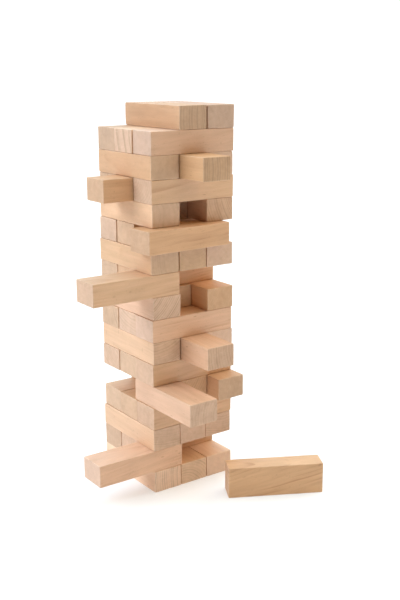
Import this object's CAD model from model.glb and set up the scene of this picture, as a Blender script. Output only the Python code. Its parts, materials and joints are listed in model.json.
"""The looks of the giant tumbling tower: sanded beech blocks, each with its own grain, on a pale floor.

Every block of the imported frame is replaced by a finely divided, slightly worn block of the same size in
the same place. All of them are cut from solid beech: each block knows where it lay in the trunk, and one
procedural material works out its rings, rays, fibres and end grain from that.
"""

import json
import math
from collections import namedtuple

import bpy
import numpy as np
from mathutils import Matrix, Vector


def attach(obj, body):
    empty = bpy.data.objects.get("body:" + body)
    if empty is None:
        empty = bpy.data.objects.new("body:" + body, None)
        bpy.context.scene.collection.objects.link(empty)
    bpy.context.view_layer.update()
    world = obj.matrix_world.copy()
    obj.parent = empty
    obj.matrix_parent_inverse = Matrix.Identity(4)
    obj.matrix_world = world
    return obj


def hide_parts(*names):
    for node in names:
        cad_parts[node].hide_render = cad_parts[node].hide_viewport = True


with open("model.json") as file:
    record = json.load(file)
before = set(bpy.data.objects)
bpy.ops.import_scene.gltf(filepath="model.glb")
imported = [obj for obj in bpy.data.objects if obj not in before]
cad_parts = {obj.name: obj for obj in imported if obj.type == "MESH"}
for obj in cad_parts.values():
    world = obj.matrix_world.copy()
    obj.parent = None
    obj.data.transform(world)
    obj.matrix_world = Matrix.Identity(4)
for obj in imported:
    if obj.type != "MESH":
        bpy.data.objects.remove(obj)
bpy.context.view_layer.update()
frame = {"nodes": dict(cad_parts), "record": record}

MM = 0.001

# Shape of a block, in metres
CLEARANCE = 0.08 * MM  # between a block's face and the CAD face that it stands for
EDGE_RADIUS = 1.15 * MM
EDGE_STEPS = 4  # grid lines from an edge's middle to where it meets each flat face
GRID_STEP = 2.6 * MM
PARALLEL = 0.999  # cosine above which two faces look the same way

# Wear of a block. A pair is the least and the most.
EDGE_UNEVENNESS = 0.22  # how much the edges' radius varies, as a share of it
EDGE_WAVELENGTH = 45 * MM
CORNER_BLUNTING = (0.1, 0.7)  # extra rounding at a corner, as a share of the edges' radius
CORNER_REACH = 7 * MM  # how far from a corner its extra rounding starts
WAVINESS = 0.12 * MM  # how far a sanded face dips
FACE_WAVELENGTH = 70 * MM
WAVELENGTH_SPREAD = (0.7, 1.4)
DENT_COUNT = (4, 9)  # below the second of the two
DENT_SIZE = (2.0, 5.5)  # in mm
DENT_DEPTH = (0.15, 0.5)  # in mm
DENTS_ON_EDGES = 0.8  # the share of the dents that lie on an edge, not on a face
RUBBED_WIDTH = 2.2 * MM  # how far from an edge its rubbed colour reaches

TRUNK_SPACING = 1000  # how far apart two blocks lay along the trunk, in mm, so that none share their grain


# ---------------------------------------------------------------------------------------------
# Which part of the trunk each block was cut from
# ---------------------------------------------------------------------------------------------

# angle: where the heart of the trunk lies from the block's middle, seen on the end that faces the
# viewer, in degrees from the right-hand side towards the top; distance: how far away it is, in mm;
# ring: the width of a year's growth, in mm; ends and faces: how dark the late wood is on the end
# grain and on the other faces; sway: how far the rings wander, in mm; lean: how far the rings climb
# along the block, in mm for each mm; light and warm: how much lighter, and how much less blue, than
# its kind the block is, in percent.
Cut = namedtuple("Cut", "angle distance ring ends faces sway lean light warm")

CUTS = {
    "level_17_middle": Cut(0, 150, 6.0, 1.0, 0.3, 1.2, 0.02, -6, -3),
    "level_17_right": Cut(200, 90, 9.0, 0.15, 0.4, 3.0, 0.02, -13, -5),
    "level_16_front": Cut(80, 70, 9.0, 0.10, 0.6, 7.0, 0.10, -4, -5),
    "level_16_middle": Cut(12, 190, 20.0, 0.9, 0.4, 3.0, 0.02, 6, -3),
    "level_16_back": Cut(100, 80, 8.0, 0.08, 0.4, 4.0, 0.02, -4, -8),
    "level_15_left": Cut(170, 70, 9.0, 0.15, 0.6, 8.0, 0.14, 0, 0),
    "level_15_middle": Cut(180, 140, 5.5, 0.9, 0.4, 1.2, 0.03, -16, 10),
    "level_15_right": Cut(60, 90, 7.0, 0.10, 0.4, 4.0, 0.03, 0, 0),
    "level_14_front": Cut(140, 42, 6.0, 0.40, 0.9, 3.0, 0.05, -6, 4),
    "level_14_middle": Cut(60, 110, 8.0, 0.10, 0.4, 4.0, 0.03, 2, 6),
    "level_13_left": Cut(185, 75, 10.0, 0.30, 0.6, 7.0, 0.10, 0, 5),
    "level_13_right": Cut(22, 140, 5.5, 0.80, 0.4, 1.2, 0.03, -4, 14),
    "level_12_front": Cut(95, 60, 7.0, 0.15, 0.8, 7.0, 0.06, -2, 6),
    "level_12_middle": Cut(70, 110, 9.0, 0.08, 0.4, 4.0, 0.03, 2, 0),
    "level_12_back": Cut(80, 90, 9.0, 0.08, 0.4, 4.0, 0.03, -4, 0),
    "level_11_left": Cut(5, 120, 5.0, 0.35, 0.4, 3.0, 0.06, -2, -3),
    "level_11_middle": Cut(85, 45, 7.0, 0.25, 0.4, 2.0, 0.03, -6, 6),
    "level_11_right": Cut(120, 60, 8.0, 0.12, 0.4, 3.0, 0.03, 0, 0),
    "level_10_front": Cut(90, 80, 7.0, 0.12, 0.8, 5.0, 0.03, -6, 4),
    "level_10_middle": Cut(100, 60, 6.0, 0.10, 1.2, 8.0, 0.08, 14, 12),
    "level_09_left": Cut(140, 130, 4.2, 1.1, 0.5, 0.8, 0.03, 4, -2),
    "level_09_right": Cut(60, 110, 9.0, 0.12, 0.4, 3.0, 0.03, 8, 14),
    "level_08_front": Cut(95, 70, 6.5, 0.12, 0.9, 6.0, 0.04, 8, -5),
    "level_07_left": Cut(105, 110, 6.0, 0.60, 0.5, 3.0, 0.04, 0, 0),
    "level_07_middle": Cut(10, 80, 6.0, 0.70, 0.5, 5.0, 0.04, -4, 5),
    "level_07_right": Cut(70, 110, 8.0, 0.12, 0.4, 4.0, 0.03, 12, -10),
    "level_06_front": Cut(85, 60, 8.0, 0.10, 0.6, 6.0, 0.06, -4, 5),
    "level_05_left": Cut(350, 90, 6.0, 0.45, 0.4, 6.0, 0.04, -4, 0),
    "level_05_middle": Cut(140, 75, 5.0, 0.70, 0.4, 2.0, 0.03, 0, 10),
    "level_05_right": Cut(80, 110, 9.0, 0.12, 0.4, 3.0, 0.03, -6, 0),
    "level_04_front": Cut(92, 75, 6.0, 0.12, 0.8, 6.0, 0.05, -8, 6),
    "level_04_middle": Cut(100, 90, 9.0, 0.10, 0.4, 4.0, 0.02, 0, 0),
    "level_04_back": Cut(80, 90, 8.0, 0.10, 0.4, 4.0, 0.02, 2, -6),
    "level_03_left": Cut(85, 130, 6.5, 0.45, 0.4, 4.0, 0.04, 0, 0),
    "level_03_middle": Cut(75, 130, 7.0, 0.15, 0.4, 3.0, 0.04, 6, -2),
    "level_02_front": Cut(95, 80, 7.0, 0.10, 0.7, 6.0, 0.08, 8, -3),
    "level_01_left": Cut(0, 140, 5.0, 1.0, 0.4, 1.2, 0.03, 20, -14),
    "level_01_middle": Cut(240, 60, 5.5, 0.80, 0.4, 3.0, 0.04, 12, -14),
    "level_01_right": Cut(60, 120, 9.0, 0.12, 0.4, 3.0, 0.03, 14, -14),
    "ground_block": Cut(170, 70, 9.0, 0.9, 1.2, 9.0, 0.26, -6, 8),
}

# The least and the most of each value, for a block whose grain hardly shows
LIKELY_CUT = Cut(
    angle=(0, 360),
    distance=(50, 160),
    ring=(5, 9),
    ends=(0.1, 0.8),
    faces=(0.3, 0.9),
    sway=(2, 6),
    lean=(-0.08, 0.08),
    light=(-4, 4),
    warm=(-6, 6),
)


def cut_of(node, rng):
    """The hand-chosen cut of a block that shows its grain, or a random likely one for any other block."""
    random_cut = Cut(*[rng.uniform(least, most) for least, most in LIKELY_CUT])
    return CUTS.get(node, random_cut)


# ---------------------------------------------------------------------------------------------
# Blocks
# ---------------------------------------------------------------------------------------------

Place = namedtuple("Place", "middle axes half")


def place_of(node):
    """Where a CAD block lies: its middle, its length, side and up axes as rows, and half its size along each.

    The broad faces have the largest area, then the long narrow ones, then the ends. The length points
    away from the front or the left, and up points to the sky, or to the front on a block stood on its side.
    """
    mesh = frame["nodes"][node].data
    normals = np.array([p.normal for p in mesh.polygons])
    areas = np.array([p.area for p in mesh.polygons])
    found = []
    for _ in range(3):
        shares = [areas[np.abs(normals @ n) > PARALLEL].sum() for n in normals]
        axis = normals[int(np.argmax(shares))]
        found.append(axis / np.linalg.norm(axis))
        areas = np.where(np.abs(normals @ axis) > PARALLEL, 0, areas)
    up, _, length = found
    up = up if up[2] - 0.5 * up[1] > 0 else -up
    length = length if length[0] + length[1] > 0 else -length
    axes = np.array([length, np.cross(up, length), up])
    reach = np.array([v.co for v in mesh.vertices]) @ axes.T
    low, high = reach.min(0), reach.max(0)
    return Place((low + high) / 2 @ axes, axes, (high - low) / 2)


def grid_lines(half):
    """Grid lines from one side to the other: close together round the edges, evenly spaced between them."""
    turn = np.radians(np.linspace(45, 0, EDGE_STEPS + 1))
    flat = half - EDGE_RADIUS
    rim = np.append(flat + EDGE_RADIUS * np.tan(turn), flat - EDGE_RADIUS / 3)
    start = rim[-1]
    between = np.linspace(-start, start, round(2 * start / GRID_STEP) + 1)[1:-1]
    return np.concatenate([-rim, between, rim[::-1]])


def shell(counts):
    """The points and outward quads of a box's surface on a grid with these numbers of lines.

    Returns the points as whole-number grid places, and the quads as rows of four point numbers.
    """
    on_surface = np.zeros(counts, bool)
    for axis in range(3):
        ends = [slice(None)] * 3
        ends[axis] = [0, -1]
        on_surface[tuple(ends)] = True
    number = np.full(counts, -1)
    number[on_surface] = np.arange(on_surface.sum())
    quads = []
    for axis in range(3):
        first, second = (axis + 1) % 3, (axis + 2) % 3
        for end in (0, -1):
            side = np.take(number, end, axis=axis)
            if first > second:
                side = side.T
            ring = [side[:-1, :-1], side[1:, :-1], side[1:, 1:], side[:-1, 1:]]
            if end == 0:
                ring.reverse()
            quads.append(np.stack([corner.ravel() for corner in ring], axis=1))
    return np.argwhere(on_surface), np.concatenate(quads)


def ripple(points, wavelength, rng, waves=5):
    """A smooth value from about -1 to 1 at each point, from a few waves in random directions."""
    total = np.zeros(len(points))
    for _ in range(waves):
        direction = rng.normal(size=3)
        length = wavelength * rng.uniform(*WAVELENGTH_SPREAD)
        direction *= 2 * np.pi / (length * np.linalg.norm(direction))
        total += np.sin(points @ direction + rng.uniform(0, 2 * np.pi))
    return total / math.sqrt(waves)


def dents(points, half, rng):
    """How far each point is pushed in by knocks, most of them along the edges."""
    depth = np.zeros(len(points))
    for _ in range(rng.integers(*DENT_COUNT)):
        spot = rng.uniform(-1, 1, 3)
        sides_met = 2 if rng.random() < DENTS_ON_EDGES else 1
        held = rng.permutation(3)[:sides_met]
        spot[held] = np.sign(spot[held])
        size = rng.uniform(*DENT_SIZE) * MM
        away = np.linalg.norm((points - spot * half) / size, axis=1)
        depth += rng.uniform(*DENT_DEPTH) * MM * np.clip(1 - away**2, 0, 1) ** 2
    return depth


def worn_block(place, rng):
    """A block about the origin, along its own axes.

    Returns its points, its quads, how nearly each point faces along the block, and how far it is
    from the nearest edge.
    """
    half = place.half - CLEARANCE
    lines = [grid_lines(h) for h in half]
    grid, quads = shell([len(line) for line in lines])
    sharp = np.stack([lines[axis][grid[:, axis]] for axis in range(3)], axis=1)
    margin = np.sort(half - np.abs(sharp), axis=1)
    to_edge, to_corner = margin[:, 1], np.linalg.norm(margin[:, 1:], axis=1)

    corner = (sharp > 0) @ [1, 2, 4]
    blunt = rng.uniform(*CORNER_BLUNTING, 8)[corner]
    radius = EDGE_RADIUS * (1 + EDGE_UNEVENNESS * ripple(sharp, EDGE_WAVELENGTH, rng))
    radius += EDGE_RADIUS * blunt * np.clip(1 - to_corner / CORNER_REACH, 0, 1) ** 2
    inner = np.clip(sharp, -(half - radius[:, None]), half - radius[:, None])
    outward = sharp - inner
    outward /= np.linalg.norm(outward, axis=1)[:, None]
    dip = WAVINESS * (0.5 + 0.5 * np.clip(ripple(sharp, FACE_WAVELENGTH, rng), -1, 1))
    points = inner + outward * (radius - dip - dents(sharp, half, rng))[:, None]
    return points, quads, np.abs(outward[:, 0]), to_edge


def make_mesh(name, points, quads):
    """A smooth-shaded mesh of quads."""
    mesh = bpy.data.meshes.new(name)
    mesh.vertices.add(len(points))
    mesh.vertices.foreach_set("co", points.astype(np.float32).ravel())
    mesh.loops.add(quads.size)
    mesh.loops.foreach_set("vertex_index", quads.astype(np.int32).ravel())
    mesh.polygons.add(len(quads))
    mesh.polygons.foreach_set("loop_start", np.arange(0, quads.size, 4, dtype=np.int32))
    mesh.polygons.foreach_set("use_smooth", np.ones(len(quads), bool))
    mesh.update(calc_edges=True)
    return mesh


def set_attribute(mesh, name, *values):
    """Stores one number, or three, at every point. A plain number is the same at all of them."""
    count = len(mesh.vertices)
    table = np.stack([np.broadcast_to(value, count) for value in values], axis=1)
    kind, key = ("FLOAT", "value") if len(values) == 1 else ("FLOAT_VECTOR", "vector")
    layer = mesh.attributes.new(name, kind, "POINT")
    layer.data.foreach_set(key, table.astype(np.float32).ravel())


def make_block(node, body, slot, seed):
    """Builds the worn beech block that stands for a CAD node."""
    rng = np.random.default_rng(seed)
    place = place_of(node)
    points, quads, end_grain, to_edge = worn_block(place, rng)
    cut = cut_of(node, rng)
    mesh = make_mesh(node + "_wood", points @ place.axes + place.middle, quads)

    # The point's place in the trunk, in mm: along it, and across it from its heart
    along, side, up = (points / MM).T
    heart = np.radians(cut.angle)
    from_heart = cut.distance + cut.lean * along
    set_attribute(
        mesh,
        "trunk",
        along + TRUNK_SPACING * seed,
        side + from_heart * math.cos(heart),
        up - from_heart * math.sin(heart),
    )
    late = cut.faces + (cut.ends - cut.faces) * end_grain
    set_attribute(mesh, "growth", cut.ring, late, cut.sway)
    edge = np.clip(1 - to_edge / RUBBED_WIDTH, 0, 1)
    set_attribute(mesh, "finish", end_grain, edge, 1 + cut.light / 100)
    set_attribute(mesh, "warmth", cut.warm / 100)

    block = bpy.data.objects.new(node + "_wood", mesh)
    bpy.context.scene.collection.objects.link(block)
    mesh.materials.append(MATERIALS[slot])
    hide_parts(node)
    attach(block, body)


def make_blocks():
    """Every block of the set, each with its own seed."""
    record = frame["record"]
    slots = {part["node"]: part["material_slot"] for part in record["subparts"]}
    bodies = {node: body for body, nodes in record["behaviour"]["bodies"].items() for node in nodes}
    for seed, node in enumerate(sorted(frame["nodes"]), start=1):
        make_block(node, bodies[node], slots[node], seed)


# ---------------------------------------------------------------------------------------------
# Beech
# ---------------------------------------------------------------------------------------------

Tone = namedtuple("Tone", "face late end")

# The colour of each kind of block: its sanded face, its late wood, and its end grain
TONES = {
    "beech_pale": Tone((0.670, 0.425, 0.262), (0.470, 0.235, 0.120), (0.595, 0.395, 0.272)),
    "beech_pink": Tone((0.650, 0.400, 0.260), (0.450, 0.220, 0.120), (0.575, 0.380, 0.268)),
    "beech_golden": Tone((0.650, 0.398, 0.224), (0.450, 0.220, 0.100), (0.570, 0.370, 0.234)),
    "beech_warm": Tone((0.605, 0.360, 0.204), (0.400, 0.190, 0.085), (0.525, 0.338, 0.216)),
}
DARK_RAY_COLOUR = (0.30, 0.150, 0.070)
PALE_RAY_COLOUR = (0.70, 0.55, 0.42)
END_LATE_COLOUR = (0.400, 0.255, 0.160)
RUBBED_COLOUR = (0.82, 0.63, 0.46)

# The size of each kind of mark, in mm: along the trunk, and across it both ways
WANDER_SIZE = (190, 60, 60)
PATCH_SIZE = (75, 22, 22)
FIBRE_SIZE = (30, 0.9, 0.9)
STREAK_SIZE = (110, 10, 10)
CLOUD_SIZE = (70, 28, 28)
PORE_SIZE = (3.0, 0.35, 0.35)
# The same for rays and flecks: along the trunk, round it, and out from its heart
RAY_SIZE = (6.5, 1.8, 30)
FLECK_SIZE = (34, 5.5, 50)
RAY_RADIUS = 100.0  # how far from the heart the size round the trunk is measured, in mm

# How dark rays and flecks are on long faces, and how pale rays are on end grain
RAY_DARKNESS = 0.30
FLECK_DARKNESS = 0.60
RAY_PALENESS = 0.35

# How much each kind of mark lightens and darkens the wood, and how much streaks warm it
FIBRE_SHARE = 0.18
STREAK_SHARE = 0.26
CLOUD_SHARE = 0.24
PORE_SHARE = 0.12
STREAK_WARMTH = -0.12

FACE_ROUGHNESS = 0.52
END_ROUGHNESS = 0.66
FIBRE_ROUGHNESS = 0.25
RAY_ROUGHNESS = -0.05
SPECULAR = 0.40

# How high each kind of mark stands, as a share of BUMP_HEIGHT
FIBRE_HEIGHT = 0.5
PORE_HEIGHT = 0.3
END_LATE_HEIGHT = 0.8
RAY_HEIGHT = -0.8
BUMP_HEIGHT = 0.15 * MM
BUMP_STRENGTH = 0.35


class Tree:
    """Short forms for wiring a material's nodes together. Values are sockets or plain numbers."""

    def __init__(self, tree):
        self.tree = tree

    def node(self, kind, inputs=(), **settings):
        made = self.tree.nodes.new(kind)
        for name, value in settings.items():
            setattr(made, name, value)
        for socket, value in dict(inputs).items():
            self.put(made.inputs[socket], value)
        return made

    def put(self, socket, value):
        if isinstance(value, bpy.types.NodeSocket):
            self.tree.links.new(value, socket)
        else:
            socket.default_value = value

    def math(self, operation, *values):
        return self.node("ShaderNodeMath", enumerate(values), operation=operation).outputs[0]

    def times(self, first, *others):
        for other in others:
            first = self.math("MULTIPLY", first, other)
        return first

    def smooth(self, value, low, high, start=0.0, end=1.0):
        """Goes smoothly from start to end as value goes from low to high."""
        inputs = {"Value": value, "From Min": low, "From Max": high, "To Min": start, "To Max": end}
        made = self.node("ShaderNodeMapRange", inputs, interpolation_type="SMOOTHSTEP")
        return made.outputs["Result"]

    def join(self, x, y, z):
        return self.node("ShaderNodeCombineXYZ", {0: x, 1: y, 2: z}).outputs[0]

    def split(self, vector):
        return self.node("ShaderNodeSeparateXYZ", {0: vector}).outputs

    def vector(self, operation, **inputs):
        """A vector operation on first and second, or on first and scale."""
        sockets = {"first": 0, "second": 1, "scale": "Scale"}
        inputs = {sockets[name]: value for name, value in inputs.items()}
        return self.node("ShaderNodeVectorMath", inputs, operation=operation).outputs[0]

    def in_marks(self, vector, size):
        """A place in mm, counted in marks of this size."""
        return self.vector("MULTIPLY", first=vector, second=[1 / length for length in size])

    def noise(self, vector, size, detail=2.0, distortion=0.0):
        """A noise value about 0.5, as Fac, and its colour, as Color."""
        inputs = {
            "Vector": self.in_marks(vector, size),
            "Scale": 1.0,
            "Detail": detail,
            "Distortion": distortion,
        }
        return self.node("ShaderNodeTexNoise", inputs).outputs

    def line_noise(self, value, scale):
        """A noise value about 0.5 that changes with one number."""
        inputs = {"W": value, "Scale": scale, "Detail": 1.0}
        return self.node("ShaderNodeTexNoise", inputs, noise_dimensions="1D").outputs[0]

    def dashes(self, vector, size, reach):
        """Scattered dashes of every strength from 0 to 1. Reach is half a dash's size, as a share of size."""
        inputs = {"Vector": self.in_marks(vector, size), "Scale": 1.0}
        cells = self.node("ShaderNodeTexVoronoi", inputs)
        strength = self.split(cells.outputs["Color"])[0]
        shape = self.smooth(cells.outputs["Distance"], reach * 0.35, reach, 1.0, 0.0)
        return self.times(shape, self.times(strength, strength))

    def attribute(self, name, output="Vector"):
        return self.node("ShaderNodeAttribute", attribute_name=name).outputs[output]

    def mix(self, factor, first, second):
        return self.node("ShaderNodeMix", {0: factor, 2: first, 3: second}).outputs[0]

    def colour(self, value):
        """A colour given as red, green and blue, with its alpha. A socket stays as it is."""
        return (*value, 1) if isinstance(value, tuple) else value

    def blend(self, kind, factor, first, second):
        """Two colours mixed. The sockets of a Mix node that carry colour are its 6th and 7th."""
        inputs = {0: factor, 6: self.colour(first), 7: self.colour(second)}
        return self.node("ShaderNodeMix", inputs, data_type="RGBA", blend_type=kind).outputs[2]


def ring_pattern(t, trunk):
    """How dark a point is as late wood, and its place round the trunk and out from its heart."""
    ring_width, contrast, sway = t.split(t.attribute("growth"))

    # Rings wander along the trunk
    wander = t.vector("ADD", first=t.noise(trunk, WANDER_SIZE)["Color"], second=(-0.5, -0.5, -0.5))
    drift = t.vector("SCALE", first=wander, scale=t.times(sway, 3.0))
    _, side, up = t.split(t.vector("ADD", first=trunk, second=drift))
    radius = t.math("SQRT", t.math("ADD", t.times(side, side), t.times(up, up)))
    angle = t.math("ARCTAN2", up, side)

    # A year's growth darkens slowly, then stops short at the next ring. No two years are as wide or
    # as dark as each other.
    year = t.math("DIVIDE", radius, ring_width)
    year = t.math("ADD", year, t.times(t.line_noise(year, 0.7), 1.1))
    within = t.math("FRACT", year)
    late = t.times(t.smooth(within, 0.35, 0.88), t.smooth(within, 0.90, 1.0, 1.0, 0.0))
    late = t.times(late, t.smooth(t.line_noise(year, 0.45), 0.35, 0.65, 0.35, 1.0), contrast)
    return late, angle, radius


def beech(name, tone):
    """Sanded, unvarnished beech, worked out from a point's place in the trunk."""
    material = bpy.data.materials.new(name)
    material.use_nodes = True
    material.node_tree.nodes.clear()
    t = Tree(material.node_tree)

    trunk = t.attribute("trunk")
    end_grain, edge, lightness = t.split(t.attribute("finish"))
    warmth = t.attribute("warmth", "Fac")
    long_face = t.math("SUBTRACT", 1.0, end_grain)
    late, angle, radius = ring_pattern(t, trunk)

    # Late wood shows in patches on a long face, and evenly on end grain
    patch = t.noise(trunk, PATCH_SIZE)["Fac"]
    on_long_face = t.smooth(patch, 0.42, 0.68, 0.06, 0.62)
    shown_late = t.times(late, t.mix(end_grain, on_long_face, 0.85))

    fibre = t.noise(trunk, FIBRE_SIZE, detail=3.0)["Fac"]
    streak = t.noise(trunk, STREAK_SIZE, detail=3.0, distortion=0.6)["Fac"]
    cloud = t.noise(trunk, CLOUD_SIZE)["Fac"]
    pore = t.noise(trunk, PORE_SIZE, detail=1.0)["Fac"]

    # Rays are thin sheets that run out from the heart: short dashes on a flat-sawn face
    round_trunk = t.join(t.split(trunk)[0], t.times(angle, RAY_RADIUS), radius)
    ray = t.dashes(round_trunk, RAY_SIZE, 0.30)
    fleck = t.dashes(round_trunk, FLECK_SIZE, 0.17)
    darkest = t.math("ADD", t.times(ray, RAY_DARKNESS), t.times(fleck, FLECK_DARKNESS))
    dark_ray = t.times(long_face, darkest)
    pale_ray = t.times(ray, end_grain, RAY_PALENESS)
    rubbed = t.times(edge, edge, t.smooth(cloud, 0.3, 0.7, 0.10, 0.45))

    colour = t.blend("MIX", end_grain, tone.face, tone.end)
    late_colour = t.blend("MIX", end_grain, tone.late, END_LATE_COLOUR)
    colour = t.blend("MIX", shown_late, colour, late_colour)
    colour = t.blend("MIX", dark_ray, colour, DARK_RAY_COLOUR)
    colour = t.blend("MIX", pale_ray, colour, PALE_RAY_COLOUR)
    colour = t.blend("MIX", rubbed, colour, RUBBED_COLOUR)

    shares = ((fibre, FIBRE_SHARE), (streak, STREAK_SHARE), (cloud, CLOUD_SHARE), (pore, PORE_SHARE))
    value = lightness
    for mark, share in shares:
        value = t.math("ADD", value, t.times(t.math("SUBTRACT", mark, 0.5), share))
    warm = t.math("MULTIPLY_ADD", t.math("SUBTRACT", streak, 0.5), STREAK_WARMTH, warmth)
    green = t.math("MULTIPLY_ADD", warm, -0.4, value)
    tint = t.join(value, green, t.math("SUBTRACT", value, warm))
    colour = t.blend("MULTIPLY", 1.0, colour, tint)

    # End grain is rougher, fibres vary the sheen, and rays shine a little and lie low
    roughness = t.math("MULTIPLY_ADD", end_grain, END_ROUGHNESS - FACE_ROUGHNESS, FACE_ROUGHNESS)
    roughness = t.math("MULTIPLY_ADD", t.math("SUBTRACT", fibre, 0.5), FIBRE_ROUGHNESS, roughness)
    roughness = t.math("MULTIPLY_ADD", ray, RAY_ROUGHNESS, roughness)

    height = t.math("MULTIPLY_ADD", fibre, FIBRE_HEIGHT, t.times(pore, PORE_HEIGHT))
    height = t.math("MULTIPLY_ADD", t.times(late, end_grain), END_LATE_HEIGHT, height)
    height = t.math("MULTIPLY_ADD", dark_ray, RAY_HEIGHT, height)
    relief = {"Height": height, "Strength": BUMP_STRENGTH, "Distance": BUMP_HEIGHT}
    bump = t.node("ShaderNodeBump", relief)

    shader = t.node("ShaderNodeBsdfPrincipled", {
        "Base Color": colour,
        "Roughness": roughness,
        "Normal": bump.outputs[0],
        "Specular IOR Level": SPECULAR,
    })
    t.node("ShaderNodeOutputMaterial", {"Surface": shader.outputs[0]})
    return material


MATERIALS = {name: beech(name, tone) for name, tone in TONES.items()}


# ---------------------------------------------------------------------------------------------
# Studio
# ---------------------------------------------------------------------------------------------

FLOOR_RADIUS = 12.0
FLOOR_SIDES = 96
FLOOR_COLOUR = (0.60, 0.60, 0.60, 1)
FLOOR_GLOW = 0.36
WHITE = (1.0, 1.0, 1.0, 1)

GLOW_COLOUR = (1.0, 0.94, 0.88, 1)
GLOW_STRENGTH = 0.04
BACKDROP_STRENGTH = 1.2

# Wide, soft lights. heading: which way the light stands, from +X towards +Y; height: how high it
# stands above the horizon; spread: how wide it looks; all three in degrees. A white card that faces
# a light of strength 1 looks white.
Light = namedtuple("Light", "heading height strength spread colour")

LIGHTS = {
    "left_light": Light(158, 34, 1.00, 50, (0.87, 0.91, 0.98)),
    "right_light": Light(0, 25, 0.71, 54, (1.0, 0.95, 0.90)),
    "back_light": Light(70, 50, 0.80, 56, (0.62, 0.83, 1.0)),
    "top_light": Light(250, 84, 0.26, 40, (0.10, 0.60, 1.0)),
    "front_light": Light(298, 60, 0.53, 90, (1.0, 0.77, 0.42)),
}

CAMERA_PLACE = (-0.955, -1.426, 0.7845)
CAMERA_HEADING = 54.04  # degrees from +X towards +Y
CAMERA_TILT = 14.42  # degrees down
CAMERA_LENS = 55.2  # mm, for a 36 mm sensor along the picture's long side


def make_floor():
    """A pale, faintly glowing disc."""
    mesh = bpy.data.meshes.new("floor")
    corners = [
        (FLOOR_RADIUS * math.cos(a), FLOOR_RADIUS * math.sin(a), 0.0)
        for a in np.linspace(0, 2 * math.pi, FLOOR_SIDES, endpoint=False)
    ]
    mesh.from_pydata(corners, [], [range(len(corners))])
    floor = bpy.data.objects.new("floor", mesh)
    bpy.context.scene.collection.objects.link(floor)
    material = bpy.data.materials.new("studio_floor")
    material.use_nodes = True
    shader = material.node_tree.nodes["Principled BSDF"]
    shader.inputs["Base Color"].default_value = FLOOR_COLOUR
    shader.inputs["Emission Color"].default_value = WHITE
    shader.inputs["Emission Strength"].default_value = FLOOR_GLOW
    shader.inputs["Roughness"].default_value = 0.9
    shader.inputs["Specular IOR Level"].default_value = 0.1
    mesh.materials.append(material)


def make_light(name, light):
    """A sun lamp that shines from where the light stands."""
    data = bpy.data.lights.new(name, "SUN")
    data.energy = math.pi * light.strength
    data.angle = math.radians(light.spread)
    data.color = light.colour
    heading, height = math.radians(light.heading), math.radians(light.height)
    level = math.cos(height)
    towards = Vector((math.cos(heading) * level, math.sin(heading) * level, math.sin(height)))
    lamp = bpy.data.objects.new(name, data)
    lamp.rotation_mode = "QUATERNION"
    lamp.rotation_quaternion = towards.to_track_quat("Z", "Y")
    bpy.context.scene.collection.objects.link(lamp)


def make_world():
    """An even, slightly warm glow all round, which the camera sees as white."""
    world = bpy.data.worlds.new("studio")
    bpy.context.scene.world = world
    world.use_nodes = True
    world.node_tree.nodes.clear()
    t = Tree(world.node_tree)
    glow = t.node("ShaderNodeBackground", {"Color": GLOW_COLOUR, "Strength": GLOW_STRENGTH})
    backdrop = t.node("ShaderNodeBackground", {"Color": WHITE, "Strength": BACKDROP_STRENGTH})
    seen = t.node("ShaderNodeLightPath").outputs["Is Camera Ray"]
    mixed = t.node("ShaderNodeMixShader", {0: seen, 1: glow.outputs[0], 2: backdrop.outputs[0]})
    t.node("ShaderNodeOutputWorld", {"Surface": mixed.outputs[0]})


def make_camera():
    data = bpy.data.cameras.new("camera")
    data.lens = CAMERA_LENS
    camera = bpy.data.objects.new("camera", data)
    camera.location = CAMERA_PLACE
    camera.rotation_euler = (math.radians(90 - CAMERA_TILT), 0, math.radians(CAMERA_HEADING - 90))
    bpy.context.scene.collection.objects.link(camera)
    bpy.context.scene.camera = camera


make_blocks()
make_floor()
make_world()
for light_name, light in LIGHTS.items():
    make_light(light_name, light)
make_camera()
bpy.context.scene.view_settings.view_transform = "Standard"
